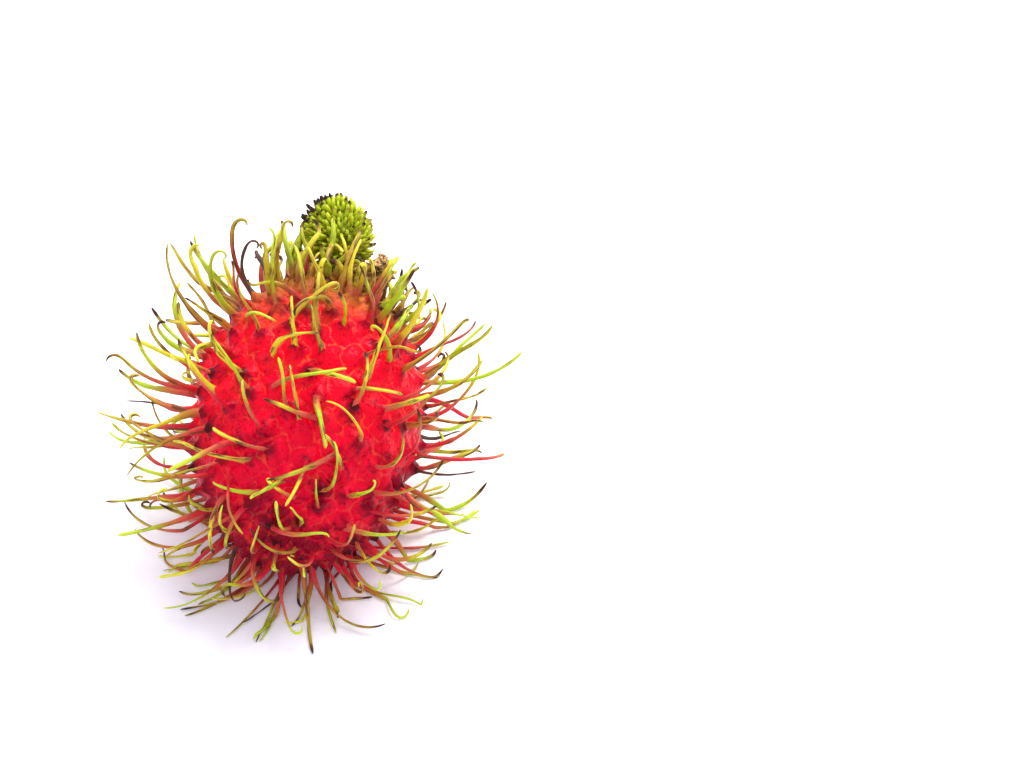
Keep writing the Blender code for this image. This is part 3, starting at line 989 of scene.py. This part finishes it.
def spintern_material(settings):
    """Soft spinterns, red at the root and lime at the tip, some with stains and dried tips; in the crown they
    are darkened towards their roots as painted shade.
    """
    material, nodes = new_material("spintern")
    share = nodes.attribute("share")
    age = nodes.attribute("age")
    wander = nodes.total(-0.11, (nodes.noise(1.4 * MM), 0.22))
    along = nodes.total(wander, (share, 1.0), (nodes.attribute("green_from"), -1.0))
    outer = nodes.over(settings.green, settings.yellow, nodes.fade(nodes.attribute("tone"), 0.2, 0.9))
    outer = nodes.over(outer, settings.knee, nodes.fade(age, 0.6, 1.0), 0.75)
    bright = nodes.times(nodes.fade(share, 0.45, 1.0), nodes.fade(along, 0.0, 0.25))
    rim = nodes.times(nodes.fade(nodes.maths("ABSOLUTE", nodes.attribute("side")), 0.6, 1.0), age)
    rim = nodes.times(rim, nodes.fade(lengthwise(nodes, 5.0, 0.3, 3.0), 0.42, 0.56))
    fibre = nodes.fade(lengthwise(nodes, 3.0, 3.0, 7.0), 0.52, 0.66)
    brown = nodes.maths("MAXIMUM", nodes.times(rim, 0.8), nodes.times(fibre, 0.4))
    scorch = nodes.total(lengthwise(nodes, 5.0, 0.8, 0.0), (age, 0.13))
    in_crown = nodes.fade(nodes.attribute("stalkness"), 0.72, 0.95)
    past = nodes.total(share, (wander, 0.4), (nodes.attribute("dry_from"), -1.0))
    dry = nodes.fade(past, -0.02, 0.06)
    colour = nodes.layers(
        settings.root,
        (settings.shin, nodes.fade(along, -0.40, -0.14)),
        (settings.knee, nodes.fade(along, -0.20, 0.02)),
        (outer, nodes.fade(along, -0.06, 0.18)),
        (settings.tip, bright, 0.5),
        (settings.streak, brown),
        (settings.streak, nodes.fade(scorch, 0.62, 0.70), 0.7),
        (settings.stain_and_shade, nodes.fade(scorch, 0.69, 0.73), 0.8),
        # Painted shade: spinterns in the crown are darkened towards their roots, where they crowd.
        (settings.stain_and_shade, nodes.times(in_crown, nodes.fade(share, 1.1, 0.1)), 0.4),
        (settings.stain_and_shade, nodes.times(nodes.fade(share, 0.15, 0.03), nodes.attribute("dark_root")), 0.85),
        (settings.streak, nodes.fade(past, -0.14, 0.0), 0.7),
        (settings.dried, dry),
    )
    shaded(
        nodes,
        colour,
        nodes.total(0.40, (dry, 0.3)),
        grain(nodes, 0.5 * MM, 0.15 * MM),
        0.09 * MM,
        Subsurface_Weight=0.1,
        Subsurface_Scale=0.5 * MM,
        Subsurface_Radius=(1.0, 0.8, 0.2),
        Specular_IOR_Level=0.2,
    )
    return material


def dried_material(settings):
    """Spinterns dried through, near black with paler brown ridges."""
    material, nodes = new_material("dried_spintern")
    cloud = nodes.noise(0.9 * MM, 4.0)
    colour = nodes.over(settings.dried, settings.stain_and_shade, nodes.fade(cloud, 0.45, 0.8))
    colour = nodes.over(colour, settings.root, nodes.fade(nodes.attribute("share"), 0.18, 0.02))
    shaded(nodes, colour, nodes.total(0.5, (cloud, 0.3)), grain(nodes, 0.4 * MM, 0.12 * MM), 0.12 * MM)
    return material


class RAMBUTAN_OT_spinterns(bpy.types.Operator):
    """Builds the spinterns, fresh ones and dried ones"""

    bl_idname = "rambutan.spinterns"
    bl_label = "Spinterns"
    bl_options = {"REGISTER", "UNDO"}

    def execute(self, context):
        settings = context.scene.rambutan.spinterns
        sweep = sweep_tree()
        fresh, dried = spinterns_with_traits(settings)
        kinds = (
            ("spinterns", fresh, spintern_material(settings)),
            ("dried_spinterns", dried, dried_material(settings)),
        )
        for name, spinterns, material in kinds:
            piece = linked(name, lines_mesh(name, spinterns))
            values = {
                "Sides": settings.sides,
                "Smoothness": settings.smoothness,
                "Flatness": settings.flatness,
                "Material": material,
            }
            grown_by(piece, sweep, values)
            on_fruit(piece, "rind", "fruit")
        return {"FINISHED"}


# ---------- Undeveloped fruitlet ----------


def papilla_shape(nodes, length, radius):
    """One papilla: a blunt cone that bends aside as it rises."""
    middle = nodes.add("ShaderNodeCombineXYZ", {"Z": nodes.times(length, PAPILLA_KNEE)}).outputs[0]
    aside = nodes.times(length, PAPILLA_BEND)
    end = nodes.add("ShaderNodeCombineXYZ", {"X": aside, "Z": length}).outputs[0]
    inputs = {"Resolution": 5, "Start": (0, 0, 0), "Middle": middle, "End": end}
    spine = nodes.add("GeometryNodeCurveQuadraticBezier", inputs).outputs["Curve"]
    along = nodes.add("GeometryNodeSplineParameter").outputs["Factor"]
    at_end = nodes.maths("POWER", along, 8.0)
    slim = nodes.total(1.0, (along, -PAPILLA_TAPER), (at_end, -PAPILLA_BLUNTNESS))
    spine = marked(nodes, spine, "share", along)
    ring = nodes.add("GeometryNodeCurvePrimitiveCircle", {"Resolution": 6, "Radius": 1.0})
    return swept(nodes, spine, ring.outputs["Curve"], nodes.times(slim, radius))


def papillae_tree():
    """Geometry nodes that cover a surface with small curved papillae."""
    inputs = (
        ("Geometry", "Geometry", None),
        ("Spacing", "Float", 0.5 * MM),
        ("Length", "Float", 1.5 * MM),
        ("Radius", "Float", 0.25 * MM),
        ("Tip", "Vector", (0, 0, 1)),
        ("Material", "Material", None),
    )
    outputs = (("Geometry", "Geometry"),)
    tree, nodes, given, result = new_group("papillae", "GeometryNodeTree", inputs, outputs)
    bristly = nodes.add("GeometryNodeInputNamedAttribute", {"Name": "bristly"}, data_type="FLOAT")
    inputs = {
        "Mesh": given["Geometry"],
        "Distance Min": given["Spacing"],
        "Density Max": MOST_PAPILLAE_PER_M2,
        "Density Factor": bristly.outputs["Attribute"],
        "Seed": SEED,
    }
    sprinkled = nodes.add("GeometryNodeDistributePointsOnFaces", inputs, distribute_method="POISSON")
    inputs = {"Min": (-PAPILLA_STRAY,) * 3, "Max": (PAPILLA_STRAY,) * 3, "Seed": SEED}
    stray = nodes.add("FunctionNodeRandomValue", inputs, data_type="FLOAT_VECTOR").outputs[0]
    pull = nodes.vector("MULTIPLY", given["Tip"], (PAPILLA_PULL,) * 3).outputs[0]
    leant = nodes.vector("ADD", sprinkled.outputs["Normal"], pull).outputs[0]
    leant = nodes.vector("ADD", leant, stray).outputs[0]
    aimed = nodes.add("FunctionNodeAlignRotationToVector", {"Vector": leant}, axis="Z").outputs[0]
    inputs = {"Rotation": aimed, "Vector": given["Tip"]}
    bent = nodes.add("FunctionNodeAlignRotationToVector", inputs, axis="X", pivot_axis="Z").outputs[0]
    draws = []
    for seed, (least, most) in ((SEED + 1, PAPILLA_SIZES), (SEED + 2, (0.0, 1.0))):
        draw = nodes.add("FunctionNodeRandomValue", {2: least, 3: most, "Seed": seed}, data_type="FLOAT")
        draws.append(draw.outputs[1])
    size, tone = draws
    inputs = {
        "Points": sprinkled.outputs["Points"],
        "Instance": papilla_shape(nodes, given["Length"], given["Radius"]),
        "Rotation": bent,
        "Scale": size,
    }
    planted = nodes.add("GeometryNodeInstanceOnPoints", inputs).outputs["Instances"]
    end_tree(nodes, marked(nodes, planted, "tone", tone, "INSTANCE"), given["Material"], result)
    return tree


def fruitlet_body_mesh():
    """The fruitlet's body, slightly lumpy, marked where it bears papillae."""
    bm = bmesh.new()
    bmesh.ops.create_icosphere(bm, subdivisions=5, radius=1.0)
    bristly = []
    for vertex in bm.verts:
        direction = vertex.co.normalized()
        point, normal = FRUITLET.surface(direction)
        vertex.co = point + normal * noise.noise(point / BODY_LUMP_SIZE) * BODY_LUMP_HEIGHT
        bristly.append(float(direction.z > -PAPILLAE_TO))
    return closed("fruitlet_body", bm, {"bristly": bristly})


def fruitlet_skin_material(settings):
    """The dark green skin between the papillae."""
    material, nodes = new_material("fruitlet_skin")
    colour, mask = mottled(nodes, settings.skin, settings.dried, size=1.2 * MM, threshold=0.5, strength=0.6)
    roughness = nodes.total(0.55, (mask, 0.3))
    shaded(nodes, colour, roughness, grain(nodes, 0.5 * MM, 0.15 * MM), 0.1 * MM, Specular_IOR_Level=0.2)
    return material


def papilla_material(settings):
    """Lime papillae, dried to brown on the fruitlet's end."""
    material, nodes = new_material("papilla")
    share = nodes.attribute("share")
    tone = nodes.attribute("tone")
    dry_end, worn_side = (
        FRUITLET.centre + AXES @ Vector(side) * FRUITLET.semi.z for side in (DRY_END, WORN_SIDE)
    )
    dry_side = nodes.fade(nodes.total(nodes.distance(dry_end), (tone, 2.6 * MM)), 7.0 * MM, 3.8 * MM)
    dry_tip = nodes.fade(nodes.total(share, (dry_side, 0.55)), 0.92, 1.1)
    near = nodes.fade(nodes.distance(worn_side), 7.5 * MM, 3.0 * MM)
    stray_tip = nodes.fade(nodes.total(tone, (near, 0.50)), 0.67, 0.74)
    stray_tip = nodes.times(nodes.fade(share, 0.5, 0.95), stray_tip)
    dry = nodes.maths("MAXIMUM", dry_tip, nodes.times(stray_tip, nodes.fade(tone, 0.86, 0.9)))
    colour = nodes.layers(
        settings.skin,
        (settings.papilla, nodes.fade(share, 0.0, 0.5)),
        (settings.tip, nodes.fade(share, 0.4, 1.0)),
        (settings.papilla, tone, 0.35),
        (settings.withered, stray_tip, 0.8),
        (settings.dried, dry),
    )
    roughness = nodes.total(0.45, (dry, 0.3))
    shaded(nodes, colour, roughness, grain(nodes, 0.4 * MM, 0.12 * MM), 0.04 * MM, Specular_IOR_Level=0.2)
    return material


class RAMBUTAN_OT_fruitlet(bpy.types.Operator):
    """Builds the undeveloped fruitlet with its papillae"""

    bl_idname = "rambutan.fruitlet"
    bl_label = "Undeveloped Fruitlet"
    bl_options = {"REGISTER", "UNDO"}

    def execute(self, context):
        settings = context.scene.rambutan.fruitlet
        body = linked("fruitlet_body", fruitlet_body_mesh())
        body.data.materials.append(fruitlet_skin_material(settings))
        on_fruit(body, "fruitlet", "undeveloped_fruitlet")
        papillae = linked("fruitlet_papillae", body.data.copy())
        values = {
            "Spacing": settings.spacing,
            "Length": settings.papilla_length,
            "Radius": settings.papilla_radius,
            "Tip": FRUITLET.axes @ Vector((0, 0, 1)),
            "Material": papilla_material(settings),
        }
        grown_by(papillae, papillae_tree(), values)
        on_fruit(papillae, "fruitlet", "undeveloped_fruitlet")
        return {"FINISHED"}


# ---------- Stalk stub ----------


def stub_mesh():
    """The stub's solid as one closed mesh."""
    bm = bmesh.new()
    bm.from_mesh(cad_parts["stalk_stub"].data)
    bmesh.ops.remove_doubles(bm, verts=bm.verts[:], dist=SAME_PLACE)
    return closed("stub", bm, {})


def bark(piece, settings):
    """Roughens the piece into torn bark, with splinters on the broken face."""
    mesh = piece.data
    outward = STICK_AXES @ Vector((0, 0, 1))
    broken, relief = [], []
    for vertex in mesh.vertices:
        point = vertex.co
        along = (point - STICK_MIDDLE).dot(outward)
        fibres = (point - outward * along * FIBRE_STRETCH) / settings.scale_size
        torn = noise.noise(point / TORN_SIZE) * TORN_DEPTH
        face = eased(along + torn - STICK_LENGTH / 2 + BROKEN_DEPTH, BROKEN_EDGE)
        ridge = noise.ridged_multi_fractal(fibres, 0.85, 2.1, 4, 1.0, 2.0) - 1.0
        lumps = noise.fractal(point / STUB_LUMP_SIZE, 0.9, 2.0, 2)
        splinters = noise.noise(point / SPLINTER_SIZE) * SPLINTER_HEIGHT
        crumbs = noise.noise(point / CRUMB_SIZE) * settings.crumb_height
        height = ridge * settings.scale_height * (1 - face) + lumps * settings.lump_height + crumbs
        broken.append(face)
        relief.append(ridge)
        vertex.co = point + vertex.normal * (height - BARK_SINK + splinters * face)
    stored(mesh, "broken", broken)
    stored(mesh, "relief", relief)


def stub_material(settings):
    """Dark bark with painted shade in its clefts, pale corky edges, and pale wood on the broken face."""
    material, nodes = new_material("stub")
    cloud = nodes.noise(0.9 * MM, 4.0)
    fine_cloud = nodes.noise(0.3 * MM)
    relief = nodes.total(nodes.attribute("relief"), (fine_cloud, 0.8))
    # Painted shade: the bark is darkest where its relief is lowest, in the clefts.
    dark = tuple(c * CLEFT_SHADE for c in settings.bark)
    colour = nodes.layers(
        dark,
        (settings.bark, nodes.fade(relief, -0.2, 0.5)),
        (settings.cork, nodes.times(nodes.fade(relief, 0.3, 0.9), nodes.fade(cloud, 0.38, 0.6))),
        (settings.fleck, nodes.fade(nodes.noise(0.42 * MM, 2.0), 0.55, 0.66), 0.75),
        (
            nodes.over(settings.wood, settings.cork, nodes.fade(fine_cloud, 0.35, 0.7)),
            nodes.fade(nodes.attribute("broken"), 0.25, 0.6),
        ),
    )
    roughness = nodes.total(0.7, (cloud, 0.2))
    height = grain(nodes, 0.35 * MM, 0.1 * MM, 0.5)
    shaded(nodes, colour, roughness, height, 0.15 * MM, Specular_IOR_Level=0.15)
    return material


class RAMBUTAN_OT_stub(bpy.types.Operator):
    """Builds the woody stub of the stalk"""

    bl_idname = "rambutan.stub"
    bl_label = "Stalk Stub"
    bl_options = {"REGISTER", "UNDO"}

    def execute(self, context):
        settings = context.scene.rambutan.stub
        stub = linked("stub", stub_mesh())
        remesh = stub.modifiers.new("remesh", "REMESH")
        remesh.mode = "VOXEL"
        remesh.voxel_size = settings.grain
        remesh.use_smooth_shade = True
        frozen(stub)
        bark(stub, settings)
        stub.data.materials.clear()
        stub.data.materials.append(stub_material(settings))
        on_fruit(stub, "stub", "stalk_stub")
        return {"FINISHED"}


# ---------- Stage ----------


def floor(settings):
    """The plain pale surface that the fruit lies on, with a faint glow that is painted light."""
    bpy.ops.mesh.primitive_plane_add(size=FLOOR_SIZE, location=(0, 0, 0))
    made = bpy.context.object
    made.name = "floor"
    material, nodes = new_material("floor")
    # Painted light: the floor glows by itself, which lifts its shadows and lights the fruit from below.
    glow = {"Emission_Color": settings.sky_tint, "Emission_Strength": settings.glow}
    shaded(nodes, settings.floor, 0.6, nodes.noise(4.0 * MM), 0.01 * MM, **glow)
    made.data.materials.append(material)
    made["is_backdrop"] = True


def lamp(name, place, size, power, tint):
    """A soft area lamp that faces the fruit."""
    light = bpy.data.lights.new(name, "AREA")
    light.shape = "DISK"
    light.size = size
    light.energy = power
    light.color = tint
    made = linked(name, light)
    made.location = RIND.centre + Vector(place)
    made.rotation_euler = (-Vector(place)).to_track_quat("-Z", "Y").to_euler()


def surroundings(settings):
    """White light from all round."""
    world = bpy.data.worlds.new("surroundings")
    bpy.context.scene.world = world
    world.use_nodes = True
    background = world.node_tree.nodes["Background"]
    background.inputs["Color"].default_value = opaque(settings.sky_tint)
    background.inputs["Strength"].default_value = settings.sky


def camera(settings):
    """The camera, looking down along +Y, with the fruit to the left of the frame."""
    data = bpy.data.cameras.new("camera")
    data.lens = settings.lens
    data.sensor_width = SENSOR_WIDTH
    data.clip_start = 0.01
    made = linked("camera", data)
    forward = Vector((0, math.cos(settings.elevation), -math.sin(settings.elevation)))
    right = Vector((1, 0, 0))
    up = right.cross(forward)
    width = data.sensor_width / data.lens
    ray = forward + right * settings.across * width - up * settings.down * width
    made.location = RIND.centre - ray * settings.distance
    made.rotation_euler = forward.to_track_quat("-Z", "Y").to_euler()
    bpy.context.scene.camera = made


class RAMBUTAN_OT_stage(bpy.types.Operator):
    """Builds the floor, the light and the camera"""

    bl_idname = "rambutan.stage"
    bl_label = "Stage"
    bl_options = {"REGISTER", "UNDO"}

    def execute(self, context):
        settings = context.scene.rambutan.stage
        floor(settings)
        surroundings(settings)
        lamp("key", KEY_PLACE, KEY_SIZE, settings.key, settings.key_tint)
        lamp("fill", FILL_PLACE, FILL_SIZE, settings.fill, settings.fill_tint)
        camera(settings)
        context.scene.view_settings.view_transform = "Standard"
        return {"FINISHED"}


# ---------- Add-on ----------


class VIEW3D_PT_rambutan(bpy.types.Panel):
    """Lists the settings and the operators"""

    bl_label = "Rambutan"
    bl_idname = "VIEW3D_PT_rambutan"
    bl_space_type = "VIEW_3D"
    bl_region_type = "UI"
    bl_category = "Rambutan"

    def draw(self, context):
        settings = context.scene.rambutan
        for group, operator in PANEL_ROWS:
            box = self.layout.box()
            box.operator(operator.bl_idname)
            for name in getattr(settings, group).bl_rna.properties.keys():
                if name not in {"rna_type", "name"}:
                    box.prop(getattr(settings, group), name)


PANEL_ROWS = (
    ("rind", RAMBUTAN_OT_rind),
    ("spinterns", RAMBUTAN_OT_spinterns),
    ("fruitlet", RAMBUTAN_OT_fruitlet),
    ("stub", RAMBUTAN_OT_stub),
    ("stage", RAMBUTAN_OT_stage),
)

CLASSES = (
    RindSettings,
    SpinternSettings,
    FruitletSettings,
    StubSettings,
    StageSettings,
    RambutanSettings,
    RAMBUTAN_OT_rind,
    RAMBUTAN_OT_spinterns,
    RAMBUTAN_OT_fruitlet,
    RAMBUTAN_OT_stub,
    RAMBUTAN_OT_stage,
    VIEW3D_PT_rambutan,
)


def register():
    for kind in CLASSES:
        bpy.utils.register_class(kind)
    bpy.types.Scene.rambutan = PointerProperty(type=RambutanSettings)


def unregister():
    del bpy.types.Scene.rambutan
    for kind in reversed(CLASSES):
        bpy.utils.unregister_class(kind)


def main():
    register()
    bpy.ops.rambutan.rind()
    bpy.ops.rambutan.spinterns()
    bpy.ops.rambutan.fruitlet()
    bpy.ops.rambutan.stub()
    bpy.ops.rambutan.stage()
    sizes = {"cad": CAD_BOX, "visual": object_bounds()}
    {name: [list(corner) for corner in box] for name, box in sizes.items()}


if __name__ == "__main__":
    main()
